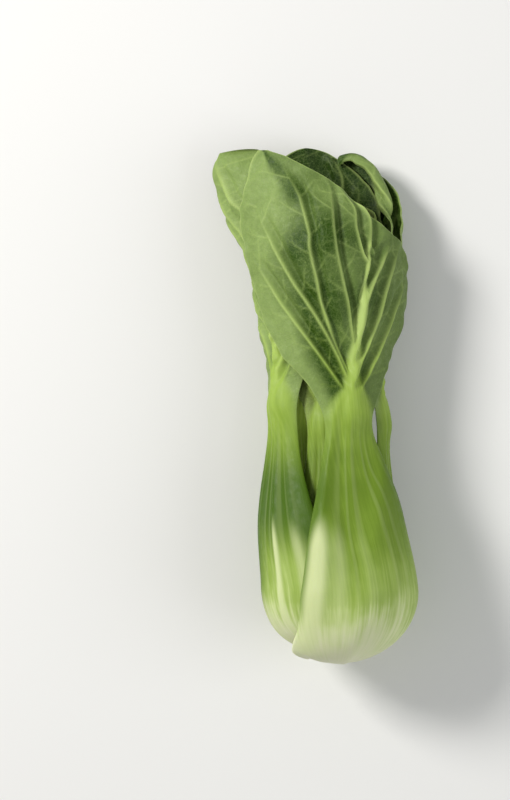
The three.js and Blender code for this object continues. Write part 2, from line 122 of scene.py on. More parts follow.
# The stage: the floor's half width in mm, then in metres what the lights point at and the height
# at which the picture is to scale, and the camera's sensor in mm and the world's light
FLOOR_HALF = 3000.0
LIGHT_TARGET = (0, 0, 0.02)
SCALE_HEIGHT = 0.03
SENSOR_HEIGHT = 24
WORLD_STRENGTH = 0.36


def curve(points):
    """A smooth function through points. On each span it mixes the two end heights by 3t^2 - 2t^3
    and adds each end's slope times t(1 - t), faded towards the other end."""
    xs, ys = np.array(points, float).T
    number = np.arange(len(xs))
    before = np.maximum(number - 1, 0)
    after = np.minimum(number + 1, len(xs) - 1)
    slopes = (ys[after] - ys[before]) / (xs[after] - xs[before])

    def value(x):
        x = np.clip(x, xs[0], xs[-1])
        i = np.clip(np.searchsorted(xs, x, side="right") - 1, 0, len(xs) - 2)
        span = xs[i + 1] - xs[i]
        t = (x - xs[i]) / span
        rise = t * t * (3 - 2 * t)
        bend = span * t * (1 - t) * ((1 - t) * slopes[i] - t * slopes[i + 1])
        return ys[i] * (1 - rise) + ys[i + 1] * rise + bend

    return value


# Half width and half height of the outside, and the axis, along Y
HALF_WIDTH = curve([(-75, 30.4), (-46, 29.6), (-5, 25.5), (20, 26.6), (40, 29.8), (62, 32.8),
                    (80, 32.5), (92, 29), (110, 20)])
HALF_HEIGHT = curve([(-75, 28), (-46, 25), (-5, 20), (30, 20), (62, 20), (85, 17), (110, 13)])
AXIS_X = curve([(-103, 2.4), (-75, 2.4), (-46, -0.8), (36, -2.8), (62, -3.2), (110, -3)])
AXIS_Z = curve([(-103, 29.3), (-75, 29.3), (-46, 28), (-5, 25), (30, 24), (62, 23.8),
                (85, 23), (110, 21)])


def smooth(x, low, high):
    """0 below low, 1 above high, and 3t^2 - 2t^3 between."""
    t = np.clip((x - low) / (high - low), 0, 1)
    return t * t * (3 - 2 * t)


def bell(x, width):
    """1 at 0, falling off as exp(-(x / width)^2)."""
    return np.exp(-(x / width) ** 2)


def near_turn(degrees):
    """The same direction between -180 and 180 degrees."""
    return (degrees % 360 + 540) % 360 - 180


def bottom_shape(w):
    """How wide and how far down the outside is round the bottom, as shares of the bulb's: the
    sine of a quarter turn to the power of the roundness, and its cosine."""
    polar = np.where(w < 0, np.pi / 2 * (1 + w / BULB_ARC), np.pi / 2)
    return np.sin(polar) ** BULB_ROUNDNESS, np.cos(polar)


def reach(w, angle):
    """The point on the outside, from the point that the head scales about: an ellipse across
    the head, shrunk and let down below w = 0 by the bottom's shape."""
    wide, down = bottom_shape(w)
    y = BULB_Y + np.maximum(w, 0)
    turn = np.radians(angle)
    return np.stack([
        HALF_WIDTH(y) * wide * np.cos(turn),
        -BULB_DEPTH * down + 0 * turn,
        HALF_HEIGHT(y) * wide * np.sin(turn),
    ], axis=-1)


def place(w, angle, level):
    """Head coordinates to points in mm: the outside point times level, set on the head's axis."""
    point = reach(w, angle) * np.asarray(level)[..., None]
    y = BULB_Y + np.maximum(w, 0) + point[..., 1]
    return np.stack([
        AXIS_X(y) + point[..., 0] + CENTRE_X,
        y + CENTRE_Y,
        AXIS_Z(y) + point[..., 2],
    ], axis=-1)


def as_level(mm, w, angle):
    """Millimetres outwards as a share of the head's radius there."""
    return mm / np.linalg.norm(reach(w, angle), axis=-1)


def mm_per_degree(w, angle, level):
    """Length of a degree round the ellipse at a level."""
    y = BULB_Y + np.maximum(w, 0)
    turn = np.radians(angle)
    return level * np.hypot(HALF_WIDTH(y) * np.sin(turn), HALF_HEIGHT(y) * np.cos(turn)) * math.pi / 180


def stem_meets(level, gap):
    """Where a shell at a level meets the stem cone, as w, found by halving."""
    in_cone, outside = -BULB_ARC, 0.0
    for _ in range(30):
        w = (in_cone + outside) / 2
        wide, down = bottom_shape(w)
        cone = STEM_TOP_SHARE + gap / BULB_DEPTH + STEM_SLOPE * level * down
        if level * wide < cone:
            in_cone = w
        else:
            outside = w
    return outside


def grid_weights(t):
    """The four weights of a uniform cubic B-spline at a share of the way between two nodes."""
    return [
        (1 - t) ** 3 / 6,
        (3 * t ** 3 - 6 * t ** 2 + 4) / 6,
        (-3 * t ** 3 + 3 * t ** 2 + 3 * t + 1) / 6,
        t ** 3 / 6,
    ]


def sample(grid, w, angle):
    """A grid's value between its nodes, as a cubic B-spline surface, which has no creases."""
    row = np.clip((w - ROW_START) / ROW_STEP, 0, ROWS - 1.001)
    column = (angle % 360) / COLUMN_STEP
    first_row = np.floor(row).astype(int)
    first_column = np.floor(column).astype(int)
    total = 0
    for i, row_weight in enumerate(grid_weights(row - first_row)):
        rows = np.clip(first_row + i - 1, 0, ROWS - 1)
        for j, column_weight in enumerate(grid_weights(column - first_column)):
            columns = (first_column + j - 1) % COLUMNS
            total = total + row_weight * column_weight * grid[rows, columns]
    return total


@dataclasses.dataclass
class Leaf:
    """A leaf's outline and build. Its neck, tip and rib_end are places on w, thick, wave, flare and
    groove are in mm, and middle, low, high and rib are functions of w, in degrees."""
    name: str
    neck: float
    tip: float
    # Levels of the outside at the bulb, at the neck and on the blade
    level: tuple
    thick: float
    middle: object
    low: object
    high: object
    rib: object
    rib_end: float
    wave: float = 1.0
    flare: float = 0.0
    top_flare: float = 0.0
    groove: float = 0.4
    # Side veins as lists of (w, degrees), where they don't follow the rule
    veins: list = None
    direction: float = 90.0
    # Ridges along the stalk as (v, width, strength): raised, and pale with white flesh and a painted
    # highlight
    ridges: tuple = ((0.0, 0.16, 0.6), (0.55, 0.12, 0.5), (-0.5, 0.14, 0.5))
    # How pale the blade's back is, by painted light and reflection and partly its own paler tone, how dark
    # a painted shade band along it, and how dark the stalk's top and side with painted shade
    sun: float = 0.0
    shade: float = 0.0
    deep: float = 0.0
    # A turned-in edge as (width, radius, first degrees, last degrees)
    roll: tuple = None
    # Mm that the tip bends down, and mm that its low corner is cut back
    droop: float = 0.0
    trim: float = 0.0
    drape: object = None

    def __post_init__(self):
        self.start = stem_meets(self.level[0], RIB_GAP)

    def half(self, w, v):
        """Half width in degrees on the side of v."""
        middle = self.middle(w)
        return np.where(v >= 0, self.high(w) - middle, middle - self.low(w))

    def angle_at(self, w, v):
        """The angle at a share of the way across."""
        return self.middle(w) + v * self.half(w, v)

    def across(self, w, angle):
        """The share of the way across at an angle."""
        off = near_turn(angle - self.middle(w))
        return off / np.maximum(self.half(w, off), 1)


def rule_leaf(name, angle, neck, tip, plus, minus, level, thick, lean=0.0, squareness=2.0, **more):
    """A leaf by rule. Its half width eases from the bulb's to the neck's, then out to the blade's
    by half its length, and closes to the tip: as a circle does at squareness 2, squarer above."""

    def half(w, most):
        below = BULB_HALF + (NECK_HALF - BULB_HALF) * smooth(w, -6, neck)
        t = (w - neck) / (tip - neck)
        body = NECK_HALF + (most - NECK_HALF) * smooth(t, 0, 0.5)
        closing = np.clip(2 * t - 1, 0, 1)
        return np.where(w <= neck, below, body * (1 - closing ** squareness) ** (1 / squareness))

    def middle(w):
        return angle + lean * smooth(w, neck, tip)

    return Leaf(
        name, neck, tip, level, thick, middle,
        low=lambda w: middle(w) - half(w, minus),
        high=lambda w: middle(w) + half(w, plus),
        rib=middle, rib_end=tip - 12, direction=angle, **more)


def front_leaf():
    """The leaf on top: its middle, midrib and edges, and its side veins as (w, degrees)."""
    return Leaf(
        "outer_1", 66, 175, (1, 0.98, 1), FULL_THICKNESS,
        middle=curve([(-44, 58), (0, 60), (29, 65), (66, 66), (111, 64), (128, 67), (140, 78),
                      (152, 98), (164, 122), (171, 139), (175, 150)]),
        low=curve([(-44, -2), (0, -3), (29, 9), (50, 32), (66, 42), (80, 28), (95, 6), (111, -14),
                   (121, -10), (131, 1), (137, 14), (141, 31), (146, 46), (156, 69), (163, 86),
                   (168, 103), (171, 117), (173, 129), (175, 147)]),
        high=curve([(-44, 178), (-34, 172), (-28, 148), (-21, 130), (-13, 122), (0, 117), (29, 103),
                    (50, 95), (66, 91), (80, 104), (95, 131), (111, 147), (132, 158), (143, 163),
                    (155, 161), (165, 156), (171, 155), (175, 153)]),
        rib=curve([(66, 66), (95, 61), (112, 57), (132, 55), (143, 54), (150, 57)]),
        # Its back is paled by painted light and crossed by a painted shade band, and its stalk's ridge at
        # 0.8 carries a painted highlight
        rib_end=142, wave=0.4, groove=1.1, direction=66, sun=0.25, shade=0.4,
        ridges=((0.8, 0.15, 1), (0.48, 0.13, 0.4), (0.16, 0.09, 0.25), (-0.7, 0.14, 0.3)),
        veins=[
            [(91, 63), (102, 66), (113, 71), (125, 77), (139, 82), (152, 84), (160, 85), (167, 92)],
            [(83, 65), (93, 76), (103, 85), (112, 91), (122, 94), (135, 98), (141, 98), (150, 102),
             (159, 108), (171, 127)],
            [(79, 66), (90, 76), (101, 88), (112, 100), (121, 111), (132, 122), (143, 133), (152, 143)],
            [(75, 67), (88, 87), (101, 106), (114, 124), (125, 139), (132, 149)],
            [(134, 55), (143, 54), (150, 58), (156, 68), (161, 78)],
            [(129, 55), (133, 60), (143, 66), (152, 68), (161, 82)],
            [(111, 57), (119, 51), (128, 43), (138, 32)],
            [(84, 64), (92, 54), (102, 44), (112, 37), (122, 31), (131, 25), (139, 19)],
            [(74, 65), (86, 46), (99, 28), (112, 12), (124, -2)],
        ])


def all_leaves():
    """The spiral of leaves, outermost first."""
    return [
        front_leaf(),
        rule_leaf("outer_2", 281, 61, 170, 74, 62, (1, 0.98, 0.94), 6.4, lean=8, wave=0.3),
        # Its back is paled by painted light, its stalk's top and high side carry painted shade, and its
        # midrib ridge a painted highlight
        rule_leaf("outer_3", 143, 69, 176, 50, 72, (0.96, 0.92, 0.8), 6, lean=25, squareness=3,
                  flare=8, top_flare=12, sun=0.75, droop=3.5, trim=9, deep=1.0,
                  ridges=((-0.05, 0.07, 0.9), (-0.5, 0.13, 0.55))),
        rule_leaf("outer_4", 5, 64, 174, 56, 66, (0.93, 0.92, 0.84), 6, lean=-66, wave=0.4,
                  roll=(8, 2.4, -72, -10)),
        rule_leaf("outer_5", 236, 67, 177, 92, 66, (0.82, 0.82, 0.8), 5.6, lean=16),
        rule_leaf("middle_1", 91, 62, 146, 62, 62, (0.68, 0.7, 0.74), 4.6),
        rule_leaf("middle_2", 313, 66, 153, 58, 58, (0.62, 0.64, 0.68), 4.2),
        rule_leaf("middle_3", 176, 60, 155, 58, 58, (0.55, 0.58, 0.62), 3.8),
        rule_leaf("middle_4", 38, 58, 144, 56, 56, (0.46, 0.5, 0.54), 3.4),
        rule_leaf("heart_1", 261, 60, 136, 60, 60, (0.38, 0.4, 0.44), 3),
        rule_leaf("heart_2", 123, 54, 122, 62, 62, (0.3, 0.32, 0.34), 2.6),
        rule_leaf("heart_3", 345, 48, 106, 66, 66, (0.22, 0.23, 0.24), 2.2),
    ]


def wanted_level(leaf, w):
    """Level of the outside with nothing under it: eased from bulb to neck, then to the blade."""
    bulb, neck, blade = leaf.level
    return (bulb + (neck - bulb) * smooth(w, 0, leaf.neck)
            + (blade - neck) * smooth(w, leaf.neck, leaf.neck + 50))


def stalk_thickness(leaf, w, v):
    """Stalk thickness in mm: an edge, plus (1 - v^2)^0.8 towards the middle, less one groove."""
    middle = leaf.thick * (1 - 0.3 * smooth(w, 0, leaf.neck))
    edge = 0.3 * middle
    groove = leaf.groove * smooth(w, -25, 5) * bell(v - 0.45, 0.17)
    return edge + (middle - edge) * (1 - np.clip(v * v, 0, 1)) ** 0.8 - groove


def blade_wave(leaf, w, angle):
    """Outward mm of the blade's wave, a sine along its edge, and of its flare past the midrib.
    It is 0 below the neck."""
    v = leaf.across(w, angle)
    to_tip = smooth(w, leaf.neck + 30, leaf.tip)
    to_side = np.clip(np.abs(v), 0, 1) * smooth(w, leaf.neck + 6, leaf.neck + 40)
    edge = smooth(np.maximum(to_side, to_tip), 0.55, 1)
    wave = 0.9 + 0.9 * np.sin(w * 0.21 + angle * 0.17 + leaf.tip)
    flare = (leaf.flare * smooth(w, leaf.tip - 55, leaf.tip - 25)
             + leaf.top_flare * smooth(w, leaf.tip - 40, leaf.tip))
    return np.where(w > leaf.neck, leaf.wave * edge * wave + flare * smooth(v, 0.1, 0.85), 0)


def rib_half(leaf, w):
    """Half width in mm of the midrib, slimmer towards the tip."""
    fade = 1 - smooth(w, leaf.neck - 20, leaf.tip - 18)
    return 0.7 + 5.2 * leaf.thick / FULL_THICKNESS * fade ** 1.5


def rib_height(leaf, w):
    """Height in mm of the midrib above the blade's back, lower towards the tip."""
    fade = 1 - smooth(w, leaf.neck, leaf.tip - 18)
    return leaf.thick / FULL_THICKNESS * (0.3 + 2.4 * fade)


def inside_level(leaf, w, angle):
    """Level of a laid leaf's inside: its drape, plus the blade's wave."""
    return sample(leaf.drape, w, angle) + as_level(blade_wave(leaf, w, angle), w, angle)


def on_sheet(leaf, w, angle, lift=0.0):
    """Points so many mm outside a leaf's inside."""
    return place(w, angle, inside_level(leaf, w, angle) + as_level(lift, w, angle))


def laid_thickness(leaf, w, angle, blade):
    """Thickness in mm for draping: the stalk's below the neck, and the blade's as given above it."""
    return np.where(w < leaf.neck, stalk_thickness(leaf, w, leaf.across(w, angle)), blade)


def widened(grid):
    """The grid with every value raised to the highest of its eight neighbours."""
    rows = np.concatenate([grid[:1], grid, grid[-1:]])
    tall = np.maximum(np.maximum(rows[:-2], rows[1:-1]), rows[2:])
    return np.maximum(np.maximum(np.roll(tall, 1, axis=1), tall), np.roll(tall, -1, axis=1))


def grid_places():
    """w and angle of every node of the drape grid."""
    ws = ROW_START + ROW_STEP * np.arange(ROWS)
    angles = COLUMN_STEP * np.arange(COLUMNS)
    return np.meshgrid(ws, angles, indexing="ij")


def drape(leaf, stack):
    """A leaf's inside level over the leaves laid before it. It starts a gap above them or at its
    own wanted level, and is pulled to the mean of its four neighbours, never below its start."""
    w, angle = grid_places()
    thick = laid_thickness(leaf, w, angle, BLADE_THICKNESS)
    wanted = wanted_level(leaf, w) - as_level(thick, w, angle)
    floor = np.maximum(widened(stack) + as_level(LEAF_GAP, w, angle), wanted)
    level = floor.copy()
    for _ in range(RELAX_PASSES):
        rows = np.concatenate([level[:1], level, level[-1:]])
        even = (rows[:-2] + rows[2:] + np.roll(level, 1, axis=1) + np.roll(level, -1, axis=1)) / 4
        level = np.maximum(floor, RELAX_PULL * even + (1 - RELAX_PULL) * floor)
    return level


def add_to_stack(leaf, stack):
    """Raises the stack to a laid leaf's outside, with a margin of a grid step round its edge."""
    w, angle = grid_places()
    near = np.clip(w, leaf.start, leaf.tip - 0.5)
    off = near_turn(angle - leaf.middle(near))
    covered = (w >= leaf.start - ROW_STEP) & (w <= leaf.tip + ROW_STEP)
    covered &= off <= leaf.high(near) - leaf.middle(near) + COLUMN_STEP
    covered &= off >= leaf.low(near) - leaf.middle(near) - COLUMN_STEP
    beside = np.abs(np.radians(near_turn(angle - leaf.middle(w))))
    beside = beside * np.linalg.norm(reach(w, angle), axis=-1)
    on_rib = 1 - smooth(beside, rib_half(leaf, w) - 1, rib_half(leaf, w) + 5)
    blade = BLADE_THICKNESS + RIB_GAP + RIB_EDGE + rib_height(leaf, w) * on_rib
    thick = laid_thickness(leaf, w, angle, blade)
    outside = leaf.drape + as_level(blade_wave(leaf, w, angle) + thick, w, angle)
    return np.where(covered, np.maximum(stack, outside), stack)


@functools.lru_cache
def laid_leaves():
    """All leaves by name, laid from the heart outwards."""
    stack = np.full((ROWS, COLUMNS), CORE_LEVEL)
    leaves = all_leaves()
    for leaf in reversed(leaves):
        leaf.drape = drape(leaf, stack)
        stack = add_to_stack(leaf, stack)
    return {leaf.name: leaf for leaf in leaves}


# Fine form of a leaf

def lumps(w, angle):
    """Soft unevenness about 0: a seeded random grid read as a B-spline surface."""
    heights = np.random.default_rng(LUMP_SEED).uniform(-1, 1, (ROWS, COLUMNS))
    return 1.6 * sample(heights, w, angle)


def rib_share(leaf, w, v):
    """How far across the midrib a place on the blade is: 0 on its middle, 1 on its foot. The
    stalk's full width narrows to the midrib's over 16 mm above the neck."""
    opened = 1 - smooth(w, leaf.neck - 0.7, leaf.neck + 16)
    rib_angle = leaf.rib(w)
    rib_degrees = rib_half(leaf, w) / mm_per_degree(w, rib_angle, leaf.level[2])
    rib_wide = rib_degrees / np.maximum(leaf.half(w, v), 1)
    rib_v = leaf.across(w, rib_angle)
    return (v - (1 - opened) * rib_v) / (opened + (1 - opened) * rib_wide), opened


def sheet_thickness(leaf, w, v):
    """Thickness in mm of the whole leaf, and how pale it is: the stalk below the neck, and above
    it the thin blade with the midrib's hump, a bell across, which fades out at the rib's end."""
    x, opened = rib_share(leaf, w, v)
    foot = 1 - smooth(np.abs(x), 0.6, 1.3)
    top = (RIB_GAP + RIB_EDGE + 0.75 * rib_height(leaf, w)) * bell(x, 0.7)
    stalk_top = foot * np.maximum(stalk_thickness(leaf, leaf.neck, x) - BLADE_THICKNESS, 0.5)
    fading = 1 - smooth(w, leaf.rib_end - 16, leaf.rib_end + 4)
    blade = BLADE_THICKNESS + fading * (top + (stalk_top - top) * opened)
    to_blade = smooth(w, leaf.neck - 5, leaf.neck + 3)
    thick = stalk_thickness(leaf, w, v) * (1 - to_blade) + blade * to_blade
    pale = 1 - smooth(w, leaf.neck - 14, leaf.neck + 4) * (1 - foot * fading)
    return thick, pale


def walk(leaf, w, angle, heading, length, bend, step=1.6):
    """A path over a leaf from a place: steps of even length on a heading that turns evenly.
    The heading is in degrees from straight up, positive towards larger angles."""
    path = [(w, angle)]
    for _ in range(max(int(length / step), 2)):
        turn = math.radians(heading)
        w += step * math.cos(turn)
        angle += step * math.sin(turn) / float(mm_per_degree(w, angle, leaf.level[2]))
        heading += bend * step
        if w > leaf.tip - 1 or abs(float(leaf.across(w, angle))) > 0.97:
            break
        path.append((w, angle))
    return path


def main_veins(leaf):
    """Side veins from the midrib outwards as paths of (w, angle): the leaf's own, or by rule."""
    if leaf.veins:
        paths = []
        for points in leaf.veins:
            angle_of = curve(points)
            ws = np.linspace(points[0][0], points[-1][0], VEIN_POINTS)
            paths.append(list(zip(ws, angle_of(ws))))
        return paths
    length = leaf.tip - leaf.neck
    paths = []
    for at in (0.06, 0.16, 0.25, 0.34, 0.44, 0.54, 0.66):
        for side in (-1, 1):
            t = np.linspace(0, 1, VEIN_POINTS)
            w = leaf.neck + length * (at + 0.02 * side + t * (0.2 + 0.12 * t))
            w = np.minimum(w, leaf.tip - 1)
            paths.append(list(zip(w, leaf.angle_at(w, side * 0.93 * t))))
    return paths


def branch_veins(leaf, paths, every, length, seed):
    """Branches off each path, to its two sides in turn, with small seeded differences."""
    chance = np.random.default_rng(seed)
    branches = []
    for path in paths:
        travelled = every * 0.4
        side = 1
        for (w0, a0), (w1, a1) in zip(path, path[1:]):
            across_mm = (a1 - a0) * float(mm_per_degree(w0, a0, leaf.level[2]))
            travelled += math.hypot(w1 - w0, across_mm)
            if travelled < every:
                continue
            travelled = chance.uniform(-0.25, 0.25) * every
            heading = math.degrees(math.atan2(across_mm, w1 - w0)) + side * chance.uniform(38, 58)
            bend = -side * chance.uniform(0.4, 1.6)
            branches.append(walk(leaf, w1, a1, heading, length * chance.uniform(0.6, 1.2), bend))
            side = -side
    return [path for path in branches if len(path) > 2]


def near_path(leaf, points, path_w_angle):
    """For points near a path: which they are, their distance from it in mm, how far along it
    they are from 0 to 1, and on which side, 1 towards larger angles."""
    w, angle = np.array(path_w_angle).T
    thick, _ = sheet_thickness(leaf, w, leaf.across(w, angle))
    line = on_sheet(leaf, w, angle, thick)
    above = points["xyz"] > line.min(0) - VEIN_REACH
    below = points["xyz"] < line.max(0) + VEIN_REACH
    index = np.nonzero(np.all(above & below, axis=-1))[0]
    starts = line[:-1]
    steps = line[1:] - starts
    offsets = points["xyz"][index][:, None, :] - starts
    lengths = np.maximum((steps ** 2).sum(-1), 1e-9)
    t = np.clip((offsets * steps).sum(-1) / lengths, 0, 1)
    gaps = np.linalg.norm(offsets - t[..., None] * steps, axis=-1)
    nearest = gaps.argmin(axis=1)
    row = np.arange(len(index))
    along = (nearest + t[row, nearest]) / len(steps)
    dw = np.diff(w)[nearest]
    da = np.diff(angle)[nearest]
    off_w = points["w"][index] - w[nearest]
    off_a = near_turn(points["angle"][index] - angle[nearest])
    side = np.sign(off_a * dw - off_w * da)
    return index, gaps[row, nearest], along, side


def vein_relief(leaf, w, angle, xyz, settings, branching):
    """Height in mm of the veins on the back, how pale they are, and the pleats beside the main
    ones: a vein is a bell across that fades along it, and a pleat a valley on its far side and a
    swelling on its near side."""
    points = {"w": w.ravel(), "angle": angle.ravel(), "xyz": xyz.reshape(-1, 3)}
    relief = np.zeros((3, w.size))
    height, pale, pleat = relief
    mains = main_veins(leaf)
    kinds = [(mains, settings.vein_height, 0.72, 1.0)]
    if branching:
        branches = branch_veins(leaf, mains, *BRANCHES)
        twigs = branch_veins(leaf, branches, *TWIGS)
        kinds.append((branches, settings.vein_height * 0.22, 0.42, 0.3))
        kinds.append((twigs, settings.vein_height * 0.1, 0.34, 0.16))
    for paths, tall, wide, strength in kinds:
        for path in paths:
            index, gap, along, side = near_path(leaf, points, path)
            fade = (1 - along) ** 0.7 * 0.8 + 0.2 * (1 - smooth(along, 0.9, 1))
            across = bell(gap, wide * (0.55 + 0.45 * fade))
            height[index] = np.maximum(height[index], tall * fade * across)
            shown = strength * (0.4 + 0.6 * fade) * (1 - smooth(along, 0.72, 1))
            pale[index] = np.maximum(pale[index], shown * across)
            if paths is mains:
                far_side = -side * np.sign(path[-1][1] - path[0][1] + 1e-6)
                valley = bell(gap - 2.5, 1.7) * (far_side > 0)
                valley -= 0.5 * bell(gap - 2.2, 2.2) * (far_side < 0)
                ends = smooth(along, 0, 0.15) * (1 - smooth(along, 0.8, 1))
                pleat[index] = np.minimum(pleat[index], -settings.pleat_depth * valley * ends)
    return relief.reshape(3, *w.shape)


def leaf_rows(leaf, start, stalk_rows, blade_rows):
    """w of each row of a leaf's grid: even on the stalk, closer together towards the tip."""
    stalk = np.linspace(start, leaf.neck, stalk_rows, endpoint=False)
    t = np.linspace(0, 1, blade_rows)
    blade = leaf.neck + (leaf.tip - 0.03 - leaf.neck) * (1 - (1 - t) ** 1.5)
    return np.concatenate([stalk, blade])


def blade_edge(leaf):
    """Points along a blade's edge, up one side, across the tip and down the other, their angles,
    and the steps in w and in angle that go 1 mm inwards from each."""
    t = np.linspace(1, 0, 260)
    side = leaf.tip - 0.05 - ROLL_SPAN * t ** 2
    across = np.linspace(0.98, -0.98, 90)
    w = np.concatenate([side, np.full(len(across), leaf.tip - 0.04), side[::-1]])
    v = np.concatenate([np.ones(len(side)), across, -np.ones(len(side))])
    angle = leaf.angle_at(w, v)
    edge = on_sheet(leaf, w, angle)
    per_w = (on_sheet(leaf, w + 0.1, angle) - edge) / 0.1
    per_degree = (on_sheet(leaf, w, angle + 0.1) - edge) / 0.1
    inwards = unit(np.cross(np.cross(per_w, per_degree), np.gradient(edge, axis=0)))
    to_middle = on_sheet(leaf, w - 6, leaf.middle(w)) - edge
    inwards *= np.sign((inwards * to_middle).sum(-1, keepdims=True))
    ww, aa, wa = (per_w ** 2).sum(-1), (per_degree ** 2).sum(-1), (per_w * per_degree).sum(-1)
    on_w, on_a = (inwards * per_w).sum(-1), (inwards * per_degree).sum(-1)
    area = ww * aa - wa ** 2
    return edge, angle, (on_w * aa - on_a * wa) / area, (on_a * ww - on_w * wa) / area


def unit(vectors):
    """Vectors scaled to a length of 1."""
    return vectors / np.maximum(np.linalg.norm(vectors, axis=-1, keepdims=True), 1e-9)


def rolled(leaf, w, angle, lift, points):
    """A face with its edge rolled in. The sheet's last mm, the roll's width, go round a circle:
    r sin(turn) outwards and r (1 - cos(turn)) inwards, with turn the length past its start over r.
    The sheet before it is drawn out, so that the roll lies where the edge was."""
    width, radius, first, last = leaf.roll
    drawn = 3 * width
    edge, edge_angle, inward_w, inward_a = blade_edge(leaf)
    near = w > leaf.tip - ROLL_SPAN - 10
    w, angle, lift = w[near], angle[near], lift[near][:, None]
    sheet = on_sheet(leaf, w, angle)
    squares = (sheet ** 2).sum(-1)[:, None] + (edge ** 2).sum(-1) - 2 * sheet @ edge.T
    nearest = squares.argmin(axis=1)
    gap = np.sqrt(np.maximum(squares.min(axis=1), 0))
    moved = np.where(gap < width, radius, radius + (gap - width) * (drawn - radius) / (drawn - width))
    moved = np.where(gap < drawn, moved, gap)
    step_w, step_a = inward_w[nearest], inward_a[nearest]
    new_w = w + (moved - gap) * step_w
    new_angle = angle + (moved - gap) * step_a
    start = on_sheet(leaf, new_w, new_angle)
    out = unit(on_sheet(leaf, new_w - 0.3 * step_w, new_angle - 0.3 * step_a) - start)
    inwards = place(new_w, new_angle, 0.9 * inside_level(leaf, new_w, new_angle)) - start
    inwards = unit(inwards - (inwards * out).sum(-1, keepdims=True) * out)
    turn = (np.maximum(width - gap, 0) / radius)[:, None]
    circle = radius * (np.sin(turn) * out + (1 - np.cos(turn)) * inwards)
    roll = start + circle + lift * (np.sin(turn) * out - np.cos(turn) * inwards)
    place_on_edge = edge_angle[nearest]
    share = smooth(place_on_edge, first - 10, first + 4) * (1 - smooth(place_on_edge, last - 4, last + 10))
    points[near] += (share * (gap < drawn))[:, None] * (roll - points[near])
    return points


def leaf_face(leaf, settings, w, v, is_back, branching):
    """One face of a leaf as points in mm and what its finish needs to know. The back lies a
    thickness outside the inside level, and both faces close in on each other at the edge by
    sqrt(1 - closing^2). Pleats, ruffle and lumps move both faces, veins the back and a third as
    much the front, and ribs the back. The tip's droop and the floor come last."""
    on_edge = smooth(w, leaf.neck, leaf.neck + 20) * np.abs(v) ** 9
    scallop = np.sin(w * 0.62 + 1.7 * np.sin(w * 0.19 + leaf.direction)) * on_edge
    angle = leaf.angle_at(w, v * (1 + settings.scallop * scallop))
    inside = inside_level(leaf, w, angle)
    thick, pale = sheet_thickness(leaf, w, v)
    edge_mm = (1 - np.abs(v)) * leaf.half(w, v) * mm_per_degree(w, angle, inside)
    on_blade = smooth(w, leaf.neck - 4, leaf.neck + 4)
    rounding = (1 - on_blade) * np.minimum(thick, 2.5) + on_blade * 1.5
    closing = np.clip(1 - edge_mm / rounding, 0, 1)
    open_share = np.maximum(np.sqrt(1 - closing ** 2), 0.2)
    back = on_sheet(leaf, w, angle, thick)
    vein, vein_pale, pleat = vein_relief(leaf, w, angle, back, settings, branching)
    blade_share = smooth(w, leaf.neck + 2, leaf.neck + 22)
    ruffle = settings.ruffle * np.sin(w * 0.75 + 2 * np.sin(angle * 0.21)) * bell(edge_mm, 4.5)
    sheet = blade_share * (pleat + ruffle + settings.lumps * lumps(w, angle))
    on_stalk = smooth(w, -26, 0) * (1 - smooth(w, leaf.neck - 18, leaf.neck + 10))
    stripes = np.sin(v * 26 + 1.4 * np.sin(v * 11 + leaf.direction)) * bell(v, 0.8) * on_stalk
    ridge_lines = sum(strength * bell(v - at, width) for at, width, strength in leaf.ridges)
    ridge = ridge_lines * on_stalk
    beside_rib = smooth(np.abs(rib_share(leaf, w, v)[0]), 0.35, 1.2)
    vein = vein * blade_share * np.maximum(beside_rib, smooth(w, leaf.rib_end - 6, leaf.rib_end + 4))
    if is_back:
        ribbing = settings.stripe_depth * stripes + settings.ridge_height * (ridge - 0.35 * on_stalk)
        lift = thick * (0.5 + 0.5 * open_share) + sheet + vein + ribbing * open_share
    else:
        lift = thick * (0.5 - 0.5 * open_share) + sheet - 0.3 * vein
    points = on_sheet(leaf, w, angle, lift)
    if leaf.roll:
        points = rolled(leaf, w, angle, lift, points)
    points[..., 2] -= leaf.droop * smooth(w, leaf.tip - 9, leaf.tip + 1)
    points[..., 2] = np.maximum(points[..., 2], 0)

    # What the finish needs: a stalk darker at its edges and, by painted shade, at its top and high side; a
    # blade paler at its sides by painted light and reflection, partly its own paler tone, less a painted
    # shade band; and stalk ridges pale with white flesh and a painted highlight
    edge_and_painted_shade = 0.7 * smooth(np.abs(v), 0.5, 0.95) * smooth(w, -24, 4)
    edge_and_painted_shade += leaf.deep * np.maximum(smooth(v, 0.2, 0.7) * smooth(w, -24, 4), smooth(w, 8, 32))
    towards = v + 0.4 * smooth(w, leaf.tip - 45, leaf.tip - 20)
    painted_light_and_shade = (0.85 * smooth(towards, 0.38, 0.9) + 0.35 * smooth(-v, 0.15, 0.6)
              - leaf.shade * bell(towards - 0.38, 0.2))
    up = np.where(w < leaf.neck, (w + 40) / (leaf.neck + 40),
                  1 + (w - leaf.neck) / (leaf.tip - leaf.neck))
    return points, {
        "up": up,
        "pale": np.maximum(pale, vein_pale * blade_share * (1 if is_back else 0.5)),
        "back": np.full(w.shape, float(is_back)),
        "stripe": 0.5 + 0.5 * stripes,
        "ridge": np.clip(ridge_lines, 0, 1) * smooth(w, -42, -28) * (1 - smooth(w, 16, 36)),
        "sun": np.clip(leaf.sun + painted_light_and_shade, 0, 1),
        "edge": np.clip(edge_and_painted_shade, 0, 1) * (1 - smooth(w, 40, 60)),
        "rim": bell(edge_mm, 0.55) * blade_share,
        "across": angle * mm_per_degree(w, angle, 0.9) * 0.1,
        "along": w * 0.1,
    }


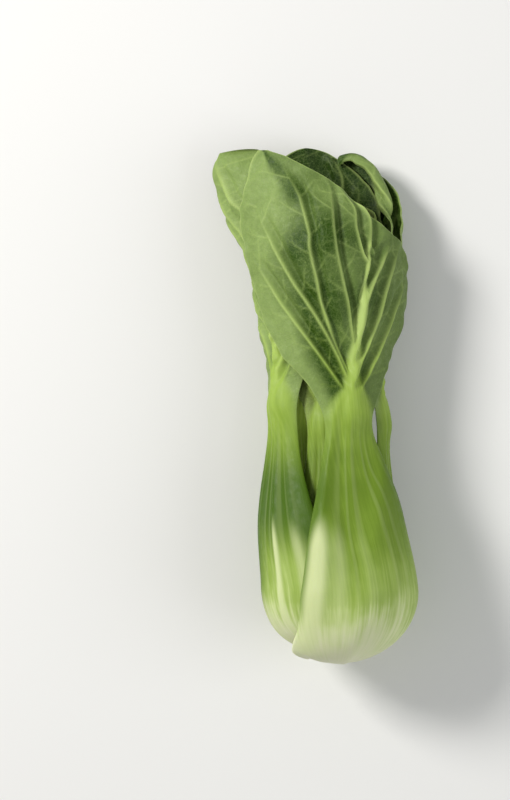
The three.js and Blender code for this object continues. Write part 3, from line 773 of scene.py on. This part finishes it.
def grid_faces(number):
    """The four-cornered faces of a grid of vertex numbers."""
    faces = np.stack([number[:-1, :-1], number[:-1, 1:], number[1:, 1:], number[1:, :-1]], axis=-1)
    return faces.reshape(-1, 4)


def rim_loop(number):
    """The vertex numbers round the edge of a grid of them, in order."""
    return np.concatenate([number[0, :-1], number[:-1, -1], number[-1, :0:-1], number[:0:-1, 0]])


def add_object(name, data):
    """A new object in the scene, at the origin."""
    item = bpy.data.objects.new(name, data)
    bpy.context.scene.collection.objects.link(item)
    return item


def new_piece(name, points_mm, faces, values, material):
    """A smooth mesh object at the origin with its point values as attributes."""
    mesh = bpy.data.meshes.new(name)
    mesh.from_pydata((points_mm * MM).tolist(), [], faces)
    for key, numbers in values.items():
        attribute = mesh.attributes.new(key, "FLOAT", "POINT")
        attribute.data.foreach_set("value", numbers.astype(np.float32))
    mesh.shade_smooth()
    mesh.materials.append(material)
    mesh.validate()
    return add_object(name, mesh)


def volume_sign(points, faces):
    """1 where the faces of a closed mesh point outwards: the sign of the sum of a . (b x c)."""
    a, b, c, d = (points[faces[:, k]] for k in range(4))
    return np.sign((a * np.cross(b, c)).sum() + (a * np.cross(c, d)).sum())


def leaf_piece(leaf, settings, material, stalk_rows, blade_rows, columns, branching):
    """A whole leaf as one closed mesh: a back and a front grid joined round their edges. Columns
    lie closer together towards the edges. The trim cuts the tip's low corner back in small bays."""
    x = np.linspace(-1, 1, columns)
    v = x * (1.15 - 0.15 * x * x)
    base_level = float(inside_level(leaf, leaf.start + 2, leaf.middle(leaf.start)))
    inner_start = max(stem_meets(max(base_level, 0.16), RIB_GAP), leaf.start)
    sides = []
    for start, is_back in ((leaf.start, True), (inner_start, False)):
        w = leaf_rows(leaf, start - INTO_STEM, stalk_rows, blade_rows)
        grid_w, grid_v = np.meshgrid(w, v, indexing="ij")
        corner = smooth(-grid_v, -0.42, 0.1) + 0.08 * (1 + np.sin(7 * grid_v + 1.56))
        grid_w = grid_w - leaf.trim * corner * smooth(grid_w, leaf.tip - 30, leaf.tip)
        sides.append(leaf_face(leaf, settings, grid_w, grid_v, is_back, branching))
    points = np.concatenate([side[0].reshape(-1, 3) for side in sides])
    values = {key: np.concatenate([side[1][key].ravel() for side in sides]) for key in sides[0][1]}
    back, front = np.arange(len(points)).reshape(2, -1, columns)
    back_rim = rim_loop(back)
    front_rim = rim_loop(front)
    rim = np.stack([back_rim, front_rim, np.roll(front_rim, -1), np.roll(back_rim, -1)], axis=-1)
    faces = np.concatenate([grid_faces(back), grid_faces(front)[:, ::-1], rim])
    if volume_sign(points, faces) < 0:
        faces = faces[:, ::-1]
    piece = new_piece("leaf_" + leaf.name, points, faces.tolist(), values, material)
    kind, number = leaf.name.split("_")
    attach(piece, "root")
    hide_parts(f"{kind}_stalk_{number}", f"{kind}_blade_{number}")


# Form of the stem

def stem_piece(material):
    """The stem: a profile of (radius share, depth share) carried round the bulb's ellipse. The
    cut end dips to its middle, in rings, and is cut a little askew. The side is a little ragged."""
    def share(down):
        return STEM_TOP_SHARE + STEM_SLOPE * down - 0.5 * STEM_CLEAR_SHARE

    end = share(1) - 0.012
    radii = np.linspace(0, end, 40)
    dents = 0.004 * np.sin(radii / end * 19) + 0.01 * bell(radii / end - 0.66, 0.1)
    dips = 1.035 - 0.022 * smooth(radii, end, 0) - dents * smooth(end - radii, 0, 0.05)
    down = np.linspace(1.01, 0.1, 40)
    wide = np.concatenate([radii, share(down), [0.06, 0.0]])
    deep = np.concatenate([dips, down, [-0.04, -0.08]])
    turns = 96
    turn = np.linspace(0, 2 * np.pi, turns, endpoint=False)
    wide_grid, turn_grid = np.meshgrid(wide, turn, indexing="ij")
    deep_grid = deep[:, None] + 0 * turn_grid
    ragged = 1 + 0.012 * np.sin(turn_grid * 5 + 1) * np.sin(turn_grid * 2 + deep_grid * 3)
    askew = 0.012 * wide_grid / end * np.sin(turn_grid + 0.6)
    askew += 0.004 * np.sin(turn_grid * 9 + wide_grid * 40)
    deep_grid = deep_grid + askew * (deep_grid > 1)
    points = np.stack([
        AXIS_X(BULB_Y) + CENTRE_X + HALF_WIDTH(BULB_Y) * wide_grid * ragged * np.cos(turn_grid),
        BULB_Y + CENTRE_Y - BULB_DEPTH * deep_grid,
        AXIS_Z(BULB_Y) + HALF_HEIGHT(BULB_Y) * wide_grid * ragged * np.sin(turn_grid),
    ], axis=-1)
    # The first and the last row are poles, closed with triangles
    vertices = np.concatenate([points[1:-1].reshape(-1, 3), points[[0, -1], 0]])
    number = np.arange((len(wide) - 2) * turns).reshape(-1, turns)
    after = np.roll(number, -1, axis=1)
    quads = grid_faces(np.hstack([number, number[:, :1]]))
    bottom = np.stack([np.full(turns, number.size), after[0], number[0]], axis=-1)
    top = np.stack([np.full(turns, number.size + 1), number[-1], after[-1]], axis=-1)
    if volume_sign(vertices, quads) < 0:
        quads, bottom, top = quads[:, ::-1], bottom[:, ::-1], top[:, ::-1]
    values = {
        "cut": np.concatenate([np.repeat((deep > 1)[1:-1], turns), [True, False]]),
        "ring": np.concatenate([np.repeat(wide[1:-1] / end, turns), [0, 0]]),
    }
    return new_piece("stem", vertices, quads.tolist() + bottom.tolist() + top.tolist(), values, material)


# Finishes

def tone(red, green, blue):
    """A colour as seen on a screen, 0 to 255, in the renderer's linear numbers."""
    return [((c / 255 + 0.055) / 1.055) ** 2.4 if c > 10 else c / 255 / 12.92
            for c in (red, green, blue)]


class Finish:
    """A material's node tree, with short ways to add to it."""

    def __init__(self, name):
        self.material = bpy.data.materials.new(name)
        self.material.use_nodes = True
        self.tree = self.material.node_tree
        self.tree.nodes.clear()
        self.shader = self.node("BsdfPrincipled")
        self.node("OutputMaterial", Surface=self.shader.outputs[0])
        self.object_place = self.node("TexCoord").outputs["Object"]

    def put(self, value, socket):
        """Sets a socket to a number or colour, or links another node to it."""
        if isinstance(value, bpy.types.NodeSocket):
            self.tree.links.new(value, socket)
        else:
            socket.default_value = value

    def fill(self, node, inputs):
        """Puts values into a node's inputs, by name with _ for a space."""
        for name, value in inputs.items():
            self.put(value, node.inputs[name.replace("_", " ")])

    def node(self, kind, **inputs):
        """A new node with its inputs filled."""
        node = self.tree.nodes.new("ShaderNode" + kind)
        self.fill(node, inputs)
        return node

    def attribute(self, name):
        """A point value of the mesh."""
        node = self.node("Attribute")
        node.attribute_name = name
        return node.outputs["Fac"]

    def math(self, operation, first, second):
        """The result of a sum on two values."""
        node = self.node("Math")
        node.operation = operation
        self.put(first, node.inputs[0])
        self.put(second, node.inputs[1])
        return node.outputs[0]

    def plus(self, first, second):
        """Two values added."""
        return self.math("ADD", first, second)

    def times(self, first, second):
        """Two values multiplied."""
        return self.math("MULTIPLY", first, second)

    def ease(self, value, low, high, to_low=0.0, to_high=1.0):
        """Maps low..high to to_low..to_high, smoothly and clamped."""
        node = self.node("MapRange", Value=value, From_Min=low, From_Max=high,
                         To_Min=to_low, To_Max=to_high)
        node.interpolation_type = "SMOOTHSTEP"
        return node.outputs["Result"]

    def mix(self, share, first, second):
        """A colour between two: the first at a share of 0 and the second at 1."""
        node = self.node("Mix")
        node.data_type = "RGBA"
        self.put(share, node.inputs[0])
        for value, socket in ((first, node.inputs[6]), (second, node.inputs[7])):
            self.put(value if isinstance(value, bpy.types.NodeSocket) else (*value[:3], 1), socket)
        return node.outputs[2]

    def layers(self, colour, *coats):
        """A colour with coats laid over it in turn, each as (share, colour)."""
        for share, coat in coats:
            colour = self.mix(share, colour, coat)
        return colour

    def noise(self, scale, detail, roughness=0.5, place=None):
        """Soft cloudy noise about 0.5, over the object's own place or another."""
        return self.node("TexNoise", Vector=place or self.object_place, Scale=scale,
                         Detail=detail, Roughness=roughness).outputs[0]

    def cell_edges(self, scale, width):
        """1 on the edges of irregular cells, falling to 0 at a width from them."""
        node = self.node("TexVoronoi", Vector=self.object_place, Scale=scale)
        node.feature = "DISTANCE_TO_EDGE"
        return self.ease(node.outputs["Distance"], 0.0, width, 1.0, 0.0)

    def ramp(self, value, stops):
        """A colour that changes with a value, through stops of (value, colour)."""
        node = self.node("ValToRGB", Fac=value)
        node.color_ramp.interpolation = "B_SPLINE"
        elements = node.color_ramp.elements
        while len(elements) < len(stops):
            elements.new(0.5)
        for element, (position, colour) in zip(elements, stops):
            element.position = position
            element.color = (*colour[:3], 1)
        return node.outputs["Color"]

    def finish(self, colour, roughness, height, depth_mm, **inputs):
        """Fills the shader, with a height map of so many mm, and returns the material."""
        bump = self.node("Bump", Height=height, Distance=depth_mm * MM)
        self.fill(self.shader, {
            "Base Color": colour, "Roughness": roughness, "Normal": bump.outputs[0], **inputs})
        return self.material


def leaf_material(name, colours, youth):
    """Stalk and blade in one: cream at the root, lime up the stalk, green blade with pale veins
    and a net of fine ones. youth from 0 to 1 makes an inner leaf paler and yellower."""
    f = Finish(name)
    up, pale, back, stripe, ridge, sun, edge, rim, across, along = (
        f.attribute(key) for key in (
            "up", "pale", "back", "stripe", "ridge", "sun", "edge", "rim", "across", "along"))
    fibre_place = f.node("CombineXYZ", X=f.times(across, 9.0), Y=f.times(along, 0.35)).outputs[0]
    fibres = f.noise(1.0, 3, 0.6, fibre_place)
    patches = f.noise(42, 3)
    mottle = f.noise(420, 3, 0.6)
    speckle = f.noise(1300, 2, 0.6)
    net = f.cell_edges(330, 0.09)
    fine_net = f.cell_edges(900, 0.12)

    # Painted light and reflection pale the back's sides, partly its own paler tone, and a painted shade
    # band darkens it; random patches vary both faces
    blade = f.layers(
        f.mix(back, colours.blade_front, colours.blade_back),
        (f.plus(f.times(sun, back), f.ease(patches, 0.38, 0.7, -0.12, 0.3)),
         f.mix(back, colours.front_light, colours.back_pale_and_lit)),
        (f.ease(mottle, 0.35, 0.7, 0.0, 0.14), colours.blade_front),
        (f.ease(speckle, 0.5, 0.75, 0.0, 0.12), colours.vein),
        (f.times(net, 0.12), colours.back_pale_and_lit),
        (f.times(fine_net, 0.12), colours.back_pale_and_lit),
        (youth, colours.young))

    height = f.plus(f.times(up, 0.5), f.ease(fibres, 0.2, 0.8, -0.035, 0.035))
    height = f.plus(height, f.ease(patches, 0.3, 0.7, -0.03, 0.03))
    by_height = f.ramp(height, [
        (0.02, colours.root_cream),
        (0.1, colours.stalk_cream),
        (0.17, colours.stalk_lime),
        (0.37, colours.stalk_green),
        (0.54, colours.stalk_lime),
        (0.7, colours.vein),
    ])
    stalk = f.layers(
        by_height,
        # Darker green towards the stalk's edges, and painted shade on its top and high side
        (f.times(edge, 0.97), colours.stalk_green),
        (f.ease(stripe, 0.5, 1.0, 0.0, 0.1), colours.stalk_cream),
        # The ridges' paleness is white flesh and a painted highlight
        (f.ease(ridge, 0.1, 0.9, 0.0, 0.8), colours.stalk_cream))
    colour = f.layers(blade, (pale, stalk), (f.times(rim, 0.5), colours.vein))

    nets = f.plus(f.times(net, 0.3), f.times(fine_net, 0.2))
    blade_relief = f.times(f.plus(nets, f.times(speckle, 0.4)), f.math("SUBTRACT", 1.0, pale))
    relief = f.plus(blade_relief, f.times(f.times(fibres, pale), 0.8))
    return f.finish(colour, f.ease(mottle, 0.3, 0.7, 0.42, 0.56), relief, 0.16,
                    Subsurface_Weight=0.08, Subsurface_Scale=0.002,
                    Subsurface_Radius=(0.7, 1.0, 0.3), Specular_IOR_Level=0.16)


def stem_material(colours):
    """The cut root end: cream flesh with a brown ring of strands, and darker dried patches."""
    f = Finish("stem_flesh")
    mottle = f.noise(260, 4, 0.6)
    patches = f.noise(70, 3)
    ring = f.attribute("ring")
    strands = f.times(f.ease(ring, 0.5, 0.66, 0.0, 0.75), f.ease(ring, 0.66, 0.84, 1.0, 0.25))
    dried = f.plus(strands, f.ease(patches, 0.3, 0.7, 0.05, 0.3))
    colour = f.layers(
        colours.root_cream,
        (f.ease(patches, 0.35, 0.65, 0.0, 0.6), colours.stalk_cream),
        (f.ease(mottle, 0.5, 0.75, 0.0, 0.55), colours.cut_brown),
        (f.times(f.attribute("cut"), dried), colours.cut_brown))
    return f.finish(colour, f.ease(mottle, 0.3, 0.7, 0.55, 0.8), mottle, 0.4, Specular_IOR_Level=0.35)


def floor_material(settings):
    """A plain pale floor with the faintest unevenness in its gloss."""
    f = Finish("stage_floor")
    cloud = f.noise(3, 2)
    colour = f.mix(f.ease(cloud, 0.3, 0.7), settings.floor, [c * 0.985 for c in settings.floor])
    return f.finish(colour, f.ease(cloud, 0.3, 0.7, 0.7, 0.8), cloud, 0.02)


# What a user may change

def number_property(name, description, default, **limits):
    """A number for the panel."""
    return bpy.props.FloatProperty(name=name, description=description, default=default, **limits)


def colour_property(name, description, rgb):
    """A colour for the panel, given as seen on a screen."""
    return bpy.props.FloatVectorProperty(
        name=name, description=description, subtype="COLOR", size=3, min=0, max=1, default=tone(*rgb))


class BokChoyShape(bpy.types.PropertyGroup):
    """Sizes of the fine form."""
    vein_height: number_property(
        "Vein height", "Height of a side vein on a blade's back, in mm", 0.95, min=0, max=2)
    pleat_depth: number_property(
        "Pleat depth", "Depth of the fold beside a side vein, in mm", 2.0, min=0, max=3)
    ruffle: number_property(
        "Ruffle", "Height of the small waves along a blade's edge, in mm", 0.18, min=0, max=2)
    scallop: number_property(
        "Scallop", "Depth of the bays in a blade's edge, as a share of its width", 0.005, min=0, max=0.1)
    lumps: number_property(
        "Lumps", "Height of the blade's soft unevenness, in mm", 0.3, min=0, max=2)
    stripe_depth: number_property(
        "Stalk ribs", "Height of the fine ribs along a stalk, in mm", 0.07, min=0, max=1)
    ridge_height: number_property(
        "Stalk ridges", "Height of the broad pale ridges along a stalk, in mm", 0.8, min=0, max=2)


class BokChoyColours(bpy.types.PropertyGroup):
    """Colours of the finishes."""
    root_cream: colour_property("Root cream", "The stalk at the root", (224, 226, 190))
    stalk_cream: colour_property("Stalk cream", "The pale ridges of the stalk", (212, 222, 166))
    stalk_lime: colour_property("Stalk lime", "The stalk half way up", (152, 181, 66))
    stalk_green: colour_property("Stalk green", "The stalk's greenest part", (66, 98, 10))
    blade_back: colour_property("Blade back", "The back of a blade", (46, 74, 8))
    # Painted light on the back's paler sides, and the colour of the fine net of veins
    back_pale_and_lit: colour_property("Back light", "Paler parts of the back", (134, 157, 88))
    blade_front: colour_property("Blade front", "The dark front of a blade", (32, 56, 8))
    front_light: colour_property("Front light", "Paler patches on the front", (66, 100, 24))
    vein: colour_property("Vein", "Veins and the edge of a blade", (176, 198, 116))
    young: colour_property("Young", "Leaves of the heart", (176, 194, 92))
    cut_brown: colour_property("Cut brown", "Where the root was cut", (150, 118, 76))


class BokChoyStage(bpy.types.PropertyGroup):
    """The camera, the lights and the floor."""
    view_height: number_property(
        "View height", "What the picture's height takes in", 0.32, unit="LENGTH")
    camera_height: number_property(
        "Camera height", "Camera above the floor", 1.6, unit="LENGTH")
    view_x: number_property("View X", "Middle of the picture", -0.02387, unit="LENGTH")
    view_y: number_property("View Y", "Middle of the picture", 0.00141, unit="LENGTH")
    key_power: number_property("Key light", "Power of the light from the left", 14.5, unit="POWER")
    fill_power: number_property("Fill light", "Power of the light from the right", 4.0, unit="POWER")
    floor: colour_property("Floor", "The floor", (236, 236, 234))


# Operators

def build_leaves(context, kind, count, youth, branching=False):
    """Builds the leaves of a kind in one finish. branching adds branches to their veins."""
    scene = context.scene
    material = leaf_material("leaf_" + kind, scene.bok_choy_colours, youth)
    for number in range(1, count + 1):
        leaf = laid_leaves()[f"{kind}_{number}"]
        cuts = LEAF_GRIDS.get(leaf.name, LEAF_GRIDS[kind])
        leaf_piece(leaf, scene.bok_choy_shape, material, *cuts, branching)


class BOKCHOY_OT_outer_leaves(bpy.types.Operator):
    """Builds the five outer leaves with their veins, pleats and edges"""
    bl_idname = "bok_choy.outer_leaves"
    bl_label = "Outer leaves"

    def execute(self, context):
        build_leaves(context, "outer", 5, 0.0, branching=True)
        return {"FINISHED"}


class BOKCHOY_OT_middle_leaves(bpy.types.Operator):
    """Builds the four middle leaves"""
    bl_idname = "bok_choy.middle_leaves"
    bl_label = "Middle leaves"

    def execute(self, context):
        build_leaves(context, "middle", 4, 0.25)
        return {"FINISHED"}


class BOKCHOY_OT_heart_leaves(bpy.types.Operator):
    """Builds the three pale leaves of the heart"""
    bl_idname = "bok_choy.heart_leaves"
    bl_label = "Heart leaves"

    def execute(self, context):
        build_leaves(context, "heart", 3, 0.6)
        return {"FINISHED"}


class BOKCHOY_OT_stem(bpy.types.Operator):
    """Builds the stem cone with its cut root end"""
    bl_idname = "bok_choy.stem"
    bl_label = "Stem"

    def execute(self, context):
        piece = stem_piece(stem_material(context.scene.bok_choy_colours))
        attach(piece, "root")
        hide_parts("stem_core")
        return {"FINISHED"}


def area_light(name, position, size, power, colour):
    """A soft square light at a place, turned towards the head."""
    light = bpy.data.lights.new(name, "AREA")
    light.size = size
    light.energy = power
    light.color = colour
    lamp = add_object(name, light)
    lamp.location = position
    x, y, z = np.array(LIGHT_TARGET) - np.array(position)
    lamp.rotation_euler = (math.atan2(math.hypot(x, y), -z), 0, math.atan2(-x, y))


class BOKCHOY_OT_stage(bpy.types.Operator):
    """Sets the floor, the lights and the camera that looks straight down"""
    bl_idname = "bok_choy.stage"
    bl_label = "Stage"

    def execute(self, context):
        scene = context.scene
        stage = scene.bok_choy_stage
        corners = FLOOR_HALF * np.array([(-1, -1, 0), (1, -1, 0), (1, 1, 0), (-1, 1, 0)])
        floor = new_piece("floor", corners, [(0, 1, 2, 3)], {}, floor_material(stage))

        area_light("key", (-0.85, 0.5, 0.85), 0.35, stage.key_power, (1, 0.98, 0.95))
        area_light("fill", (0.9, -0.2, 0.7), 0.8, stage.fill_power, (0.95, 0.98, 1))
        world = bpy.data.worlds.new("studio")
        world.use_nodes = True
        background = world.node_tree.nodes["Background"]
        background.inputs["Color"].default_value = (1, 1, 1, 1)
        background.inputs["Strength"].default_value = WORLD_STRENGTH
        scene.world = world
        scene.view_settings.view_transform = "Standard"

        camera = bpy.data.cameras.new("camera")
        camera.sensor_fit = "VERTICAL"
        camera.sensor_height = SENSOR_HEIGHT
        camera.lens = SENSOR_HEIGHT * (stage.camera_height - SCALE_HEIGHT) / stage.view_height
        camera.clip_end = 20
        scene.camera = add_object("camera", camera)
        scene.camera.location = (stage.view_x, stage.view_y, stage.camera_height)
        return {"FINISHED"}


OPERATORS = (
    BOKCHOY_OT_outer_leaves,
    BOKCHOY_OT_middle_leaves,
    BOKCHOY_OT_heart_leaves,
    BOKCHOY_OT_stem,
    BOKCHOY_OT_stage,
)


class BOKCHOY_PT_panel(bpy.types.Panel):
    """Lists the steps that build the head, and what a user may change"""
    bl_idname = "BOKCHOY_PT_panel"
    bl_label = "Bok choy"
    bl_space_type = "VIEW_3D"
    bl_region_type = "UI"
    bl_category = "Bok choy"

    def draw(self, context):
        for operator in OPERATORS:
            self.layout.operator(operator.bl_idname)
        for name, kind in GROUPS.items():
            box = self.layout.box()
            for key in kind.__annotations__:
                box.prop(getattr(context.scene, name), key)


GROUPS = {
    "bok_choy_shape": BokChoyShape,
    "bok_choy_colours": BokChoyColours,
    "bok_choy_stage": BokChoyStage,
}
CLASSES = (*GROUPS.values(), *OPERATORS, BOKCHOY_PT_panel)


def register():
    """Adds the classes and the settings to Blender."""
    for item in CLASSES:
        bpy.utils.register_class(item)
    for name, group in GROUPS.items():
        setattr(bpy.types.Scene, name, bpy.props.PointerProperty(type=group))


def unregister():
    """Takes them away again."""
    for name in GROUPS:
        delattr(bpy.types.Scene, name)
    for item in reversed(CLASSES):
        bpy.utils.unregister_class(item)


def main():
    """Builds the head and its stage."""
    register()
    bpy.ops.bok_choy.outer_leaves()
    bpy.ops.bok_choy.middle_leaves()
    bpy.ops.bok_choy.heart_leaves()
    bpy.ops.bok_choy.stem()
    bpy.ops.bok_choy.stage()


if __name__ == "__main__":
    main()
